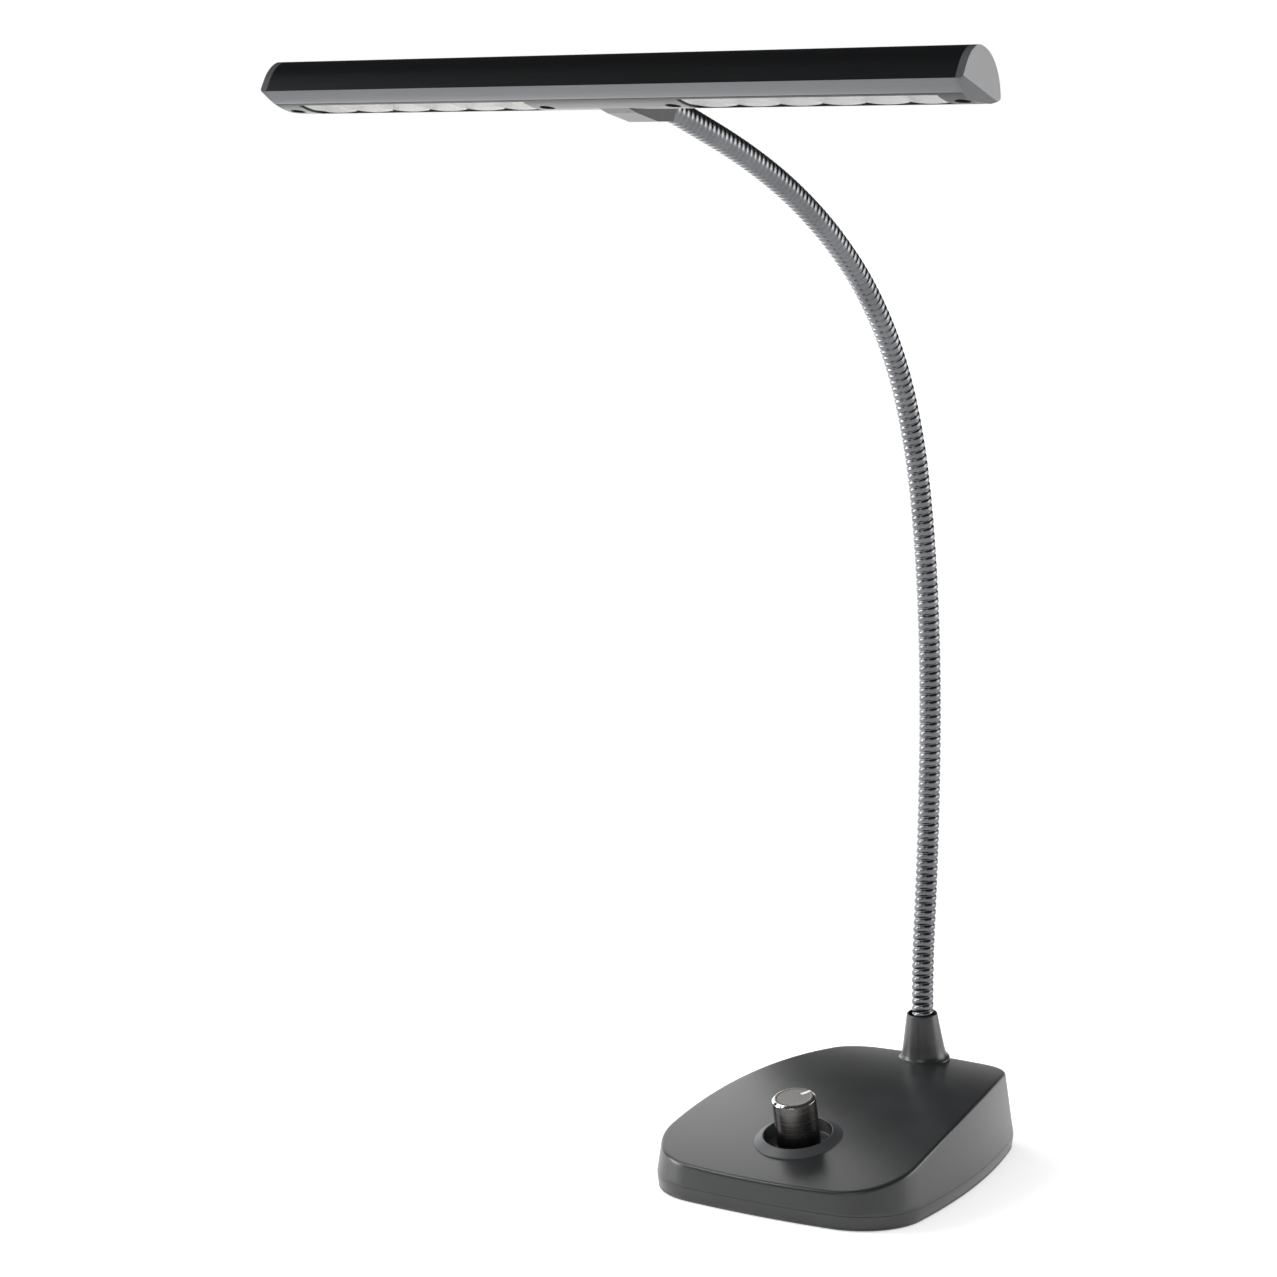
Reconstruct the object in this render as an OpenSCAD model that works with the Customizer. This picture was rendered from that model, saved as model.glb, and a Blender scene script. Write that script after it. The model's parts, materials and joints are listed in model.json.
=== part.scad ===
// Piano lamp: a weighted base with a dimmer knob, a ribbed gooseneck and a long light head.
// Millimetres. X runs along the head, -Y is the side the player sees, Z is up, the floor is z = 0.

/* [Base] */
// height of the top's highest line above the floor
top_z = 35.5; // [34.5:0.5:37.5]
// radius of the curved top, seen from the side
top_r = 390; // [370:5:420]
// how far the cover's walls lean in for each mm of height
wall_lean = 0.144; // [0.11:0.002:0.16]
// thickness of the cover's walls
wall_t = 2.2; // [1.8:0.1:2.4]
// thickness of the cover's top
top_t = 2.6; // [2:0.1:3]
// height of the line where the cover meets the pan
parting_z = 6.6; // [6:0.1:7.2]
// thickness of the rubber sheet
mat_t = 1; // [0.8:0.1:1.4]
// height of the iron block
ballast_h = 20; // [12:1:22]

/* [Dimmer] */
// radius of the knob
knob_r = 9.4; // [8:0.1:11]
// height of the knob's top over the base
knob_top = 19.3; // [16:0.1:24]
// outer radius of the collar
collar_r = 19.2; // [18.4:0.1:21]
// radius of the collar's well
well_r = 14.7; // [13:0.1:15]
// height of the collar over the base
collar_h = 2.5; // [1.5:0.1:4]
// where the pointer line stands, turned from the +X side
pointer_at = 61; // [0:1:360]

/* [Neck] */
// radius over the ribs
neck_r = 5; // [4.9:0.05:5.1]
// radius between the ribs
groove_r = 4.15; // [3.9:0.05:4.2]
// radius of the hollow for the lead
bore_r = 2.4; // [2:0.1:2.6]
// width of one rib
rib_w = 2.3; // [1.8:0.1:2.5]
// radius of the boot's skirt
boot_skirt_r = 11.8; // [11:0.1:13]
// radius of the boot's mouth
boot_mouth_r = 6.9; // [6.8:0.1:7.6]
// height of the boot
boot_h = 21.5; // [18:0.5:26]

/* [Head] */
// length of the head
head_l = 309.3; // [305:0.1:318]
// thickness of the end caps
cap_t = 3; // [2:0.1:3]
// length of the plain band between a light window and the head's end
end_band = 13.65; // [13.65:0.1:15]
// distance from the middle to a window
window_in = 34; // [34:0.5:35]

/* [Hidden] */
$fn = 72;

// Clearances.
fit = 0.05;
slide = 0.1;

// Outline of the base at its widest line: arcs that run from the front middle to the rear middle,
// each with the angle it turns through, its radius and how many sides it is drawn with.
plan_front = -82.25;
arc_turn = [5.2, 83.65, 17.15, 65, 9];
arc_rad = [387, 30.5, 385, 24, 183.155];
arc_sides = [5, 20, 8, 16, 3];

function sum_to(v, n) = n < 1 ? 0 : v[n - 1] + sum_to(v, n - 1);
function heading(k) = sum_to(arc_turn, k);
function arc_x(k, d) = k < 1 ? 0
    : arc_x(k - 1, d) + (arc_rad[k - 1] - d) * (sin(heading(k)) - sin(heading(k - 1)));
function arc_y(k, d) = k < 1 ? plan_front + d
    : arc_y(k - 1, d) + (arc_rad[k - 1] - d) * (cos(heading(k - 1)) - cos(heading(k)));
function half_plan(d) = [for (k = [0:4]) for (i = [1:arc_sides[k]])
    let (h = heading(k), t = h + arc_turn[k] * i / arc_sides[k], r = arc_rad[k] - d)
    [arc_x(k, d) + r * (sin(t) - sin(h)), arc_y(k, d) + r * (cos(h) - cos(t))]];
function whole_plan(d, half) = concat([[0, plan_front + d]], half,
    [for (i = [len(half) - 2:-1:0]) [-half[i][0], half[i][1]]]);
// The outline moved in by d.
function plan(d) = whole_plan(d, half_plan(d));

// The curved top is part of a cylinder that lies along X.
top_y = 42.45;
function top_at(y) = top_z - top_r + sqrt(top_r * top_r - (y - top_y) * (y - top_y));
wall_top = 42;
top_lean = wall_lean * (wall_top - parting_z);

// Base floor, screws and ballast.
rim_z = 0.3;
floor_top = 3;
rim_in = 1.3;
rim_step = 0.25;
lip_in = wall_t + 0.45;
lip_t = 1.2;
lip_top = parting_z + 1.8;
cavity_in = lip_in + lip_t;
mat_in = 4.4;
screw_at = [[-42, -58], [42, -58], [-38, 60], [38, 60]];
screw_r = 1.2;
screw_head_r = 2.9;
screw_seat = 3.6;
screw_tip = 14;
post_top = 6;
post_r = 4.4;
cover_boss_r = 3.6;
ballast = [80, 60];
ballast_y = 20;
ballast_corner = 6;
ballast_screw_x = 26;

// Control board.
board = [60, 42];
board_y = -51;
board_z = 5.2;
board_t = 1.6;
board_top = board_z + board_t;
board_hole = [26, 17];
board_screw_r = 1;

// Power inlet, in the rear wall.
inlet_z = 13.5;
inlet_seat = 76.9;
inlet_face = 79.6;
inlet_r = 3.95;
inlet_bore_r = 2.75;
inlet_end = 81.2;
inlet_pin_r = 1;

// Dimmer, square to the top where the knob stands.
knob_y = -45.55;
knob_tilt = asin((top_y - knob_y) / top_r);
well_floor = -4;
well_t = 1.6;
cup_r = well_r + 2;
case_r = 8.5;
case_h = 8;
bushing_r = 4.5;
bushing_top = 0.6;
shaft_r = 3;
shaft_top = 13.5;
knob_low = -2.9;
knob_edge = 0.9;
knob_hollow_r = 6.6;
knob_hollow_top = 1.6;
pointer_w = 1.5;
pointer_in = 3.9;
pointer_depth = 0.5;
grub_r = 1.5;
grub_s = 6;

// Neck: sections of constant curvature, joined in ball seats.
root_y = 68.32;
root_z = 35;
root_tilt = 6.5;
section_l = [62, 40.5, 40.5, 40.5, 40.5, 40.5, 40.5, 40.5, 40.5, 40.5, 40.5, 40.5, 37.5];
section_bend = [-11, 2.5, 2, 3.7, 4.5, 6, 12, 15, 12.8, 8.4, 6.8, 4.4, -0.5];
ball_r = neck_r - 0.7;
seat_r = ball_r + fit;
skirt_s = 1.05;
last_rib_gap = 1.6;
plain_r = 4.45;
plain_l = 12;
pad_r = 7.6;
pad_top = 1.2;
pad_low = -5;
web_t = 1.2;
flange_r = 6.3;
flange_top = 4.4;
stud_r = 4.2;
stud_low = -13;
stud_bore_r = 2;
lead_r = 1.5;

function tilt(k, s) = root_tilt + sum_to(section_bend, k) + section_bend[k] * s / section_l[k];
function rad_of(k) = section_l[k] / (section_bend[k] * PI / 180);
function along(k, s) = [rad_of(k) * (cos(tilt(k, s)) - cos(tilt(k, 0))),
    rad_of(k) * (sin(tilt(k, s)) - sin(tilt(k, 0)))];
function start(k) = k < 1 ? [root_y, root_z] : start(k - 1) + along(k - 1, section_l[k - 1]);
function neck_at(k, s) = start(k) + along(k, s);

function lead_at(k, s) = [0, neck_at(k, s)[0], neck_at(k, s)[1]];

// Head: u runs from the nose to the rear, h is square to it, both in the head's own section.
nose_from_neck = [-51.402, 5.763];
nose_y = neck_at(12, section_l[12])[0] + nose_from_neck[0];
nose_z = neck_at(12, section_l[12])[1] + nose_from_neck[1];
head_tilt = 17.8;
shell_x = head_l / 2 - cap_t;
belly = [[0, 0], [1.9, -1], [4.6, -2.2], [7.4, -2.95], [11.5, -3.2], [18, -2.6], [22.4, -1.5],
    [25.4, -0.7], [26.6, 0]];
back = [[26.6, 0], [29.1, 1.8], [29.6, 3.4], [26.7, 8.5], [22.4, 12.5], [17.4, 14.9],
    [12, 15.5], [7.4, 14.6], [4, 11.6], [1.9, 8], [0.8, 4.1], [0, 0]];

// A smooth curve through the points, with n steps between each two.
function between(a, b, c, d, t) = 0.5 * (2 * b + (c - a) * t + (2 * a - 5 * b + 4 * c - d) * t * t
    + (3 * b - a - 3 * c + d) * t * t * t);
function smooth(p, n) = [for (i = [0:len(p) - 2]) for (j = [0:n - 1])
    between(i > 0 ? p[i - 1] : 2 * p[0] - p[1], p[i], p[i + 1],
        i < len(p) - 2 ? p[i + 2] : 2 * p[i + 1] - p[i], j / n)];
belly_curve = smooth(belly, 3);
head_outline = concat(belly_curve, smooth(back, 4));
upper_room = [[3.4, 7.6], [25.4, 7.6], [24.6, 8.4], [21.4, 11.2], [16.9, 13.5], [12.4, 13.8],
    [7.7, 13.3], [5.4, 10.7]];
nose_room = [[2.4, 0.8], [5.6, -0.9], [5.6, 6], [3.1, 6]];
cover_strip = concat([[7.05, 0.8], [7.05, -2.5]],
    [for (p = belly_curve) if (p[0] > 7.2 && p[0] < 26.3) p], [[26.5, -0.05], [26.5, 0.8]]);
channel_u = [7, 26.6];
web_low = 6.2;
web_high = 7.6;
board_in = [9, 23.8];
led_board_t = 1.6;
led_low = 3.9;
strip_top = 0.8;
window_u = [8.6, 24.2];
window_l = head_l / 2 - end_band - window_in;
cell_n = 6;
cell = window_l / cell_n;
head_screw_in = 28;
head_screw_out = head_l / 2 - 7.35;
head_screw_at = [-head_screw_out, -head_screw_in, head_screw_in, head_screw_out];
lead_hole = [window_in + 3, 22];
head_screw_u = 16.4;
head_boss_r = 3.9;
head_well_r = 3;
head_seat = 2.6;
socket_r = 7;
socket_side = [[-0.45, -0.44], [-0.45, -5.44], [-1.45, -6.84], [-13.05, -7.04], [-28.05, -4.04],
    [-34.05, -2.24], [-34.05, 1.36], [-15.05, 5.36]];
ferrule_r = 5.6;
ferrule_rim_r = 6.2;
ferrule_rim = 2;

module at_root(s) translate([0, root_y, root_z]) rotate([root_tilt, 0, 0])
    translate([0, 0, s]) children();
module at_knob(s) translate([0, knob_y, top_at(knob_y)]) rotate([knob_tilt, 0, 0])
    translate([0, 0, s]) children();
module at_neck(k, s) translate([0, neck_at(k, s)[0], neck_at(k, s)[1]])
    rotate([tilt(k, s), 0, 0]) children();
module at_head() translate([0, nose_y, nose_z]) rotate([-head_tilt, 0, 0]) children();
// Draws a head section along X from x0 to x1.
module bar(points, x0, x1) translate([x0, 0, 0]) rotate([90, 0, 90])
    linear_extrude(height = x1 - x0) polygon(points);
module slab(d, z0, z1) translate([0, 0, z0]) linear_extrude(height = z1 - z0) polygon(plan(d));
// The outline moved in by d0 at z0 and by d1 at z1, with straight leaning walls.
module drafted(d0, z0, d1, z1) {
    low = plan(d0);
    high = plan(d1);
    n = len(low);
    polyhedron(
        points = concat([for (p = low) [p[0], p[1], z0]], [for (p = high) [p[0], p[1], z1]]),
        faces = concat([[for (i = [0:n - 1]) i]], [[for (i = [n - 1:-1:0]) n + i]],
            [for (i = [0:n - 1]) [i, n + i, n + (i + 1) % n, (i + 1) % n]]));
}
module under_top(r) translate([0, top_y, top_z - top_r]) rotate([0, 90, 0])
    cylinder(r = r, h = 160, center = true, $fn = 360);
// A round wire through the points. Its lengths cross at the bends, or end in a bead there.
module wire(points, r, bead = 0) {
    last = len(points) - 2;
    more = bead > 0 ? 0 : r;
    for (i = [0:last]) {
        v = points[i + 1] - points[i];
        low = i > 0 ? more : 0;
        high = i < last ? more : 0;
        translate(points[i]) rotate([0, acos(v[2] / norm(v)), atan2(v[1], v[0])])
            translate([0, 0, -low]) cylinder(r = r, h = norm(v) + low + high, $fn = 24);
    }
    if (bead > 0) for (i = [1:1:last]) translate(points[i]) sphere(r = bead, $fn = 24);
}
module screw(shank_r, shank_l, head_r, head_h) {
    translate([0, 0, -head_h]) cylinder(r = head_r, h = head_h);
    translate([0, 0, -0.01]) cylinder(r = shank_r, h = shank_l + 0.01);
}
module cross_slot(depth, half) for (a = [0, 90]) rotate([0, 0, a])
    translate([-half, -0.4, 0]) cube([2 * half, 0.8, depth]);

module cover_outside() intersection() {
    drafted(0, parting_z, top_lean, wall_top);
    under_top(top_r);
}
module base_cover() color("#191a1c") difference() {
    union() {
        difference() {
            cover_outside();
            intersection() {
                drafted(wall_t - wall_lean, parting_z - 1, wall_t + top_lean, wall_top);
                under_top(top_r - top_t);
            }
        }
        intersection() {
            under_top(top_r - 1);
            for (p = screw_at) translate([p[0], p[1], post_top]) cylinder(r = cover_boss_r, h = 34);
        }
        intersection() {
            cover_outside();
            translate([-8, inlet_seat, parting_z]) cube([16, 10, 16]);
        }
        at_root(pad_low) cylinder(r = pad_r, h = pad_top - pad_low);
    }
    for (p = screw_at) translate([p[0], p[1], post_top - 1])
        cylinder(r = screw_r + fit, h = screw_tip + 1.6 - post_top);
    at_root(pad_low - 1) cylinder(r = stud_r + slide, h = pad_top - pad_low + 2);
    at_knob(well_floor - 4) cylinder(r = cup_r + slide, h = 12);
    translate([0, inlet_seat - 1, inlet_z]) rotate([-90, 0, 0]) cylinder(r = inlet_r + slide, h = 9);
    translate([0, inlet_face, inlet_z]) rotate([-90, 0, 0]) cylinder(r = 6, h = 6);
}
module base_pan() color("#222326") difference() {
    union() {
        difference() {
            union() {
                drafted(rim_in, rim_z, rim_step, parting_z);
                slab(lip_in, floor_top, lip_top);
            }
            slab(cavity_in, floor_top, lip_top + 1);
        }
        for (p = screw_at) translate([p[0], p[1], floor_top - 1])
            cylinder(r = post_r, h = post_top - floor_top + 1);
        for (x = [-1, 1]) for (y = [-1, 1])
            translate([x * board_hole[0], board_y + y * board_hole[1], floor_top - 1])
                cylinder(r = 2.4, h = board_z - floor_top + 1);
    }
    translate([-8 - slide, inlet_seat - slide, parting_z]) cube([16 + 2 * slide, 10, 4]);
    slab(mat_in - 0.2, 0, mat_t);
    for (p = screw_at) translate([p[0], p[1], 0]) {
        cylinder(r = screw_head_r + slide, h = screw_seat);
        cylinder(r = screw_r + 0.4, h = post_top + 1);
    }
    for (x = [-1, 1]) for (y = [-1, 1])
        translate([x * board_hole[0], board_y + y * board_hole[1], floor_top - 0.6])
            cylinder(r = board_screw_r + fit, h = 4);
    for (x = [-1, 1]) translate([x * ballast_screw_x, ballast_y, 0]) {
        cylinder(r = screw_head_r + slide, h = 2);
        cylinder(r = screw_r + 0.4, h = floor_top + 1);
    }
}
module non_slip_mat() color("#101010") difference() {
    slab(mat_in, 0, mat_t);
    for (p = screw_at) translate([p[0], p[1], -1]) cylinder(r = 4, h = mat_t + 2);
}
module ballast_block() color("#3c3d3f") difference() {
    translate([0, ballast_y, floor_top]) {
        x = ballast[0] / 2 - ballast_corner;
        y = ballast[1] / 2 - ballast_corner;
        translate([-x, -ballast[1] / 2, 0]) cube([2 * x, ballast[1], ballast_h]);
        translate([-ballast[0] / 2, -y, 0]) cube([ballast[0], 2 * y, ballast_h]);
        for (a = [-x, x]) for (b = [-y, y]) translate([a, b, 0])
            cylinder(r = ballast_corner, h = ballast_h);
    }
    for (x = [-1, 1]) translate([x * ballast_screw_x, ballast_y, floor_top - 1])
        cylinder(r = screw_r + fit, h = 11);
}
module base_screws() color("#8d9095") for (p = screw_at) translate([p[0], p[1], screw_seat])
    difference() {
        screw(screw_r, screw_tip - screw_seat, screw_head_r, 2.2);
        translate([0, 0, -2.3]) cross_slot(1.2, 1.6);
    }
module ballast_screws() color("#8d9095")
    for (x = [-1, 1]) translate([x * ballast_screw_x, ballast_y, 2])
        screw(screw_r, 9, screw_head_r, 2 - mat_t);

module control_board() color("#1f5a34") difference() {
    translate([-board[0] / 2, board_y - board[1] / 2, board_z]) cube([board[0], board[1], board_t]);
    for (x = [-1, 1]) for (y = [-1, 1])
        translate([x * board_hole[0], board_y + y * board_hole[1], board_z - 1])
            cylinder(r = board_screw_r + 0.3, h = board_t + 2);
}
module board_screws() color("#8d9095") for (x = [-1, 1]) for (y = [-1, 1])
    translate([x * board_hole[0], board_y + y * board_hole[1], board_top]) mirror([0, 0, 1])
        screw(board_screw_r, 3.6, 2, 1.2);
module board_choke() color("#2b2b2e") translate([-17, -62, board_top]) difference() {
    cylinder(r = 5, h = 5.4);
    difference() {
        translate([0, 0, 1.2]) cylinder(r = 6, h = 3);
        translate([0, 0, 1]) cylinder(r = 3.9, h = 4);
    }
}
module board_capacitor() color("#27408b") translate([16, -62, board_top]) {
    cylinder(r = 3.2, h = 1);
    cylinder(r = 3, h = 1.6);
    translate([0, 0, 1.6]) cylinder(r = 3.2, h = 5.4);
}
module driver_chip() color("#161616") translate([0, -62, board_top]) {
    translate([-2.5, -2, 0.1]) cube([5, 4, 1.4]);
    for (x = [-1.9, -0.6, 0.6, 1.9]) for (y = [-3.1, 1.9]) translate([x - 0.2, y, 0])
        cube([0.4, 1.2, 0.5]);
}
module lead_terminal() color("#2e6b3f") translate([0, -34, board_top]) difference() {
    translate([-12, -3, 0]) cube([24, 6, 3]);
    for (x = [-9, -3, 3, 9]) translate([x, 3.5, 1.6]) rotate([90, 0, 0])
        cylinder(r = 1.1, h = 4, $fn = 24);
}
module power_inlet() color("#17181a") difference() {
    union() {
        translate([-4.5, 64, inlet_z - 4.5]) cube([9, inlet_seat - 64, 9]);
        translate([0, inlet_seat - 1, inlet_z]) rotate([-90, 0, 0])
            cylinder(r = inlet_r, h = inlet_end - inlet_seat + 1);
    }
    translate([0, 67, inlet_z]) rotate([-90, 0, 0]) cylinder(r = inlet_bore_r, h = 16);
    translate([0, 63, inlet_z]) rotate([-90, 0, 0]) cylinder(r = inlet_pin_r + 0.02, h = 6);
}
module inlet_pin() color("#c9ccd0") translate([0, 62.5, inlet_z]) rotate([-90, 0, 0]) {
    cylinder(r = inlet_pin_r, h = 16.5);
    translate([0, 0, 16.5]) cylinder(r1 = inlet_pin_r, r2 = 0.6, h = 0.6);
}
module inlet_nut() color("#3a3b3e") translate([0, inlet_face, inlet_z]) rotate([-90, 0, 0])
    difference() {
        cylinder(r = 5.7, h = 1.6, $fn = 6);
        translate([0, 0, -1]) cylinder(r = inlet_r + fit, h = 4);
    }
module inlet_leads() color("#b3241f") {
    wire([[-2.4, 63.9, 13.5], [-2.4, 60, 13.5], [-36, 56, 10.5], [-46, 43, 9], [-49.5, 10, 6.4],
        [-46, -24, 7.4], [-9, -26, 8.4], [-9, -30.4, 8.4]], 0.8);
    wire([[2.4, 63.9, 13.5], [1.6, 57, 9.5], [-37, 54, 6.6], [-46, 40, 5.4], [-45, -19, 4.6],
        [-3, -22, 8.4], [-3, -30.4, 8.4]], 0.8);
}
module base_leads() color("#d8d4c8") {
    wire([[0, 69.8, 21.9], [0.4, 69.6, 20.4], [1, 60, 19.6], [36, 56, 12], [46, 43, 8],
        [49, 10, 6], [46, -22, 7], [9, -26, 8.4], [9, -30.4, 8.4]], 0.8);
}

module knob_collar() color("#1b1c1e") difference() {
    union() {
        difference() {
            at_knob(-1.2) union() {
                cylinder(r = collar_r, h = 1.3);
                translate([0, 0, 1.3]) cylinder(r1 = collar_r, r2 = well_r + 0.9, h = collar_h - 0.1);
            }
            under_top(top_r);
        }
        at_knob(well_floor - well_t) cylinder(r = cup_r, h = collar_h + 0.2 - well_floor);
    }
    at_knob(well_floor) cylinder(r = well_r, h = collar_h + 5);
    at_knob(well_floor - 3) cylinder(r = bushing_r + fit, h = 6);
}
module dimmer_case() color("#4a4c50") difference() {
    union() {
        at_knob(well_floor - well_t - case_h) cylinder(r = case_r, h = case_h);
        at_knob(well_floor - well_t - 1) cylinder(r = bushing_r,
            h = bushing_top + 1 - well_floor + well_t);
    }
    at_knob(well_floor - well_t - case_h + 1) cylinder(r = shaft_r + fit, h = 20);
}
module dimmer_washer() color("#b8bbc0") at_knob(well_floor) difference() {
    cylinder(r = 6.2, h = 0.7);
    translate([0, 0, -1]) cylinder(r = bushing_r + fit, h = 3);
}
module dimmer_nut() color("#b8bbc0") at_knob(well_floor + 0.7) difference() {
    cylinder(r = 6.2, h = 2, $fn = 6);
    translate([0, 0, -1]) cylinder(r = bushing_r + fit, h = 4);
}
module dimmer_shaft() color("#c2a35a") at_knob(0) difference() {
    translate([0, 0, well_floor - well_t - case_h + 1.4])
        cylinder(r = shaft_r, h = shaft_top - well_floor + well_t + case_h - 1.4);
    rotate([0, 0, pointer_at + 90]) translate([shaft_r - 0.8, -5, 2]) cube([5, 10, 20]);
}
module dimmer_knob() color("#2c2d30") at_knob(0) difference() {
    union() {
        translate([0, 0, knob_low]) cylinder(r = knob_r, h = knob_top - knob_edge - knob_low);
        translate([0, 0, knob_top - knob_edge])
            cylinder(r1 = knob_r, r2 = knob_r - knob_edge, h = knob_edge);
    }
    translate([0, 0, knob_low - 1]) cylinder(r = knob_hollow_r, h = knob_hollow_top - knob_low + 1);
    cylinder(r = shaft_r + fit, h = shaft_top + 0.5);
    rotate([0, 0, pointer_at]) translate([pointer_in, -pointer_w / 2, knob_top - pointer_depth])
        cube([knob_r, pointer_w, 2]);
    rotate([0, 0, pointer_at + 90]) translate([shaft_r - 1, 0, grub_s]) rotate([0, 90, 0])
        cylinder(r = grub_r + fit, h = knob_r);
}
module knob_pointer() color("#f2f2ee") at_knob(0) rotate([0, 0, pointer_at]) intersection() {
    translate([pointer_in, -pointer_w / 2, knob_top - pointer_depth])
        cube([knob_r, pointer_w, pointer_depth]);
    translate([0, 0, knob_top - knob_edge])
        cylinder(r1 = knob_r, r2 = knob_r - knob_edge, h = knob_edge);
}
module knob_grub_screw() color("#55585c") at_knob(grub_s) rotate([0, 0, pointer_at + 90])
    rotate([0, 90, 0]) translate([0, 0, shaft_r - 0.8]) difference() {
        cylinder(r = grub_r, h = 5);
        translate([0, 0, 3.6]) cylinder(r = 0.8, h = 2, $fn = 6);
    }

module neck_boot() color("#1d1e20") difference() {
    union() {
        difference() {
            at_root(-3) union() {
                cylinder(r = boot_skirt_r, h = 3.4);
                translate([0, 0, 3.4]) cylinder(r1 = boot_skirt_r, r2 = 9.6, h = 4.1);
                translate([0, 0, 7.5]) cylinder(r1 = 9.6, r2 = boot_mouth_r, h = boot_h - 4.5);
            }
            under_top(top_r);
            at_root(-4) cylinder(r = 8.4, h = 4 + pad_top);
            at_root(pad_top + web_t) cylinder(r1 = 8.3, r2 = boot_mouth_r - 0.9,
                h = boot_h - pad_top - web_t);
            at_root(boot_h - 0.01) cylinder(r = boot_mouth_r - 0.9, h = 3);
        }
    }
    at_root(-4) cylinder(r = stud_r + slide, h = 12);
}
module neck_stud() color("#8f9297") difference() {
    union() {
        at_root(stud_low) cylinder(r = stud_r, h = 16);
        at_root(pad_top + web_t) cylinder(r = flange_r, h = flange_top - pad_top - web_t);
    }
    at_root(stud_low - 1) cylinder(r = stud_bore_r, h = 24);
}
module neck_washer() color("#b8bbc0") at_root(pad_low - 1) difference() {
    cylinder(r = 7.4, h = 1);
    translate([0, 0, -1]) cylinder(r = stud_r + slide, h = 3);
}
module neck_nut() color("#b8bbc0") at_root(pad_low - 5) difference() {
    cylinder(r = 7.2, h = 4, $fn = 6);
    translate([0, 0, -1]) cylinder(r = stud_r + fit, h = 6);
}

module rib() rotate_extrude($fn = 48) polygon([[0, -rib_w / 2], [neck_r - 0.4, -rib_w / 2],
    [neck_r, -rib_w / 2 + 0.5], [neck_r, rib_w / 2 - 0.5], [neck_r - 0.4, rib_w / 2],
    [0, rib_w / 2]]);
// The hollow of one length, which runs on past its end.
module bore(k, end) {
    mid = section_l[k] / 2;
    wire([lead_at(k, 0), lead_at(k, mid)], bore_r);
    wire([lead_at(k, mid), lead_at(k, section_l[k] + end)], bore_r);
    at_neck(k, mid) sphere(r = 1.04 * bore_r, $fn = 48);
}
// One length of the gooseneck: ribs over a tube, a ball seat at its start and a ball at its end.
module neck_length(k, first, last, n) color("#26272a") difference() {
    pitch = (last - first - rib_w) / (n - 1);
    union() {
        for (i = [0:n - 1]) at_neck(k, first + rib_w / 2 + pitch * i) rib();
        for (i = [0:n - 2]) at_neck(k, first + rib_w / 2 + pitch * (i + 0.5))
            cylinder(r = groove_r, h = pitch - rib_w + 1, center = true, $fn = 48);
        if (k < 12) at_neck(k, section_l[k]) translate([0, 0, -last_rib_gap - 0.6])
            cylinder(r = groove_r, h = 1.6, $fn = 48);
        if (k < 12) at_neck(k, section_l[k]) sphere(r = ball_r, $fn = 48);
        if (k == 12) at_neck(k, section_l[k]) translate([0, 0, -2.8])
            cylinder(r = plain_r, h = plain_l + 2.8, $fn = 48);
    }
    bore(k, k < 12 ? 6 : plain_l + 2);
    if (k > 0) at_neck(k, 0) sphere(r = seat_r, $fn = 48);
}
module neck_section(k) neck_length(k, skirt_s, section_l[k] - last_rib_gap, 12);
module neck_section_00() neck_length(0, flange_top + slide, section_l[0] - last_rib_gap, 17);
module neck_section_01() neck_section(1);
module neck_section_02() neck_section(2);
module neck_section_03() neck_section(3);
module neck_section_04() neck_section(4);
module neck_section_05() neck_section(5);
module neck_section_06() neck_section(6);
module neck_section_07() neck_section(7);
module neck_section_08() neck_section(8);
module neck_section_09() neck_section(9);
module neck_section_10() neck_section(10);
module neck_section_11() neck_section(11);
module neck_section_12() neck_length(12, skirt_s, section_l[12] - 2.2, 11);
module neck_lead() color("#1a1a1a")
    wire(concat([[0, root_y - stud_low * sin(root_tilt), root_z + stud_low * cos(root_tilt)]],
        [for (k = [0:12]) for (i = [0:1]) lead_at(k, section_l[k] * i / 2)],
        [lead_at(12, section_l[12] + plain_l + 1)]), lead_r, 1.07 * lead_r);
module neck_ferrule() color("#232427") at_neck(12, section_l[12]) difference() {
    union() {
        translate([0, 0, -ferrule_rim]) cylinder(r = ferrule_rim_r, h = ferrule_rim);
        translate([0, 0, -0.1]) cylinder(r = ferrule_r, h = plain_l);
    }
    translate([0, 0, -5]) cylinder(r = plain_r + fit, h = plain_l + 10);
}

module socket_body() union() {
    at_neck(12, section_l[12]) cylinder(r = socket_r, h = 20);
    translate([0.4 - socket_r, 0, 0]) rotate([90, 0, 90]) linear_extrude(height = 2 * socket_r - 0.8)
        translate(neck_at(12, section_l[12])) polygon(socket_side);
}
module head_extrusion() color("#2a2b2e") difference() {
    at_head() difference() {
        bar(head_outline, -shell_x, shell_x);
        bar(upper_room, -shell_x - 1, shell_x + 1);
        bar(nose_room, -shell_x - 1, shell_x + 1);
        bar([[channel_u[0], -5], [channel_u[0], web_low], [channel_u[1], web_low],
            [channel_u[1], -5]], -shell_x - 1, shell_x + 1);
        for (x = head_screw_at) translate([x, head_screw_u, web_low - 1])
            cylinder(r = screw_r + fit, h = 3);
        for (x = [-1, 1]) translate([x * lead_hole[0], lead_hole[1], web_low - 1])
            cylinder(r = 1.6, h = 3);
    }
    at_neck(12, section_l[12] + 8) cylinder(r = bore_r, h = 24);
}
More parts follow.
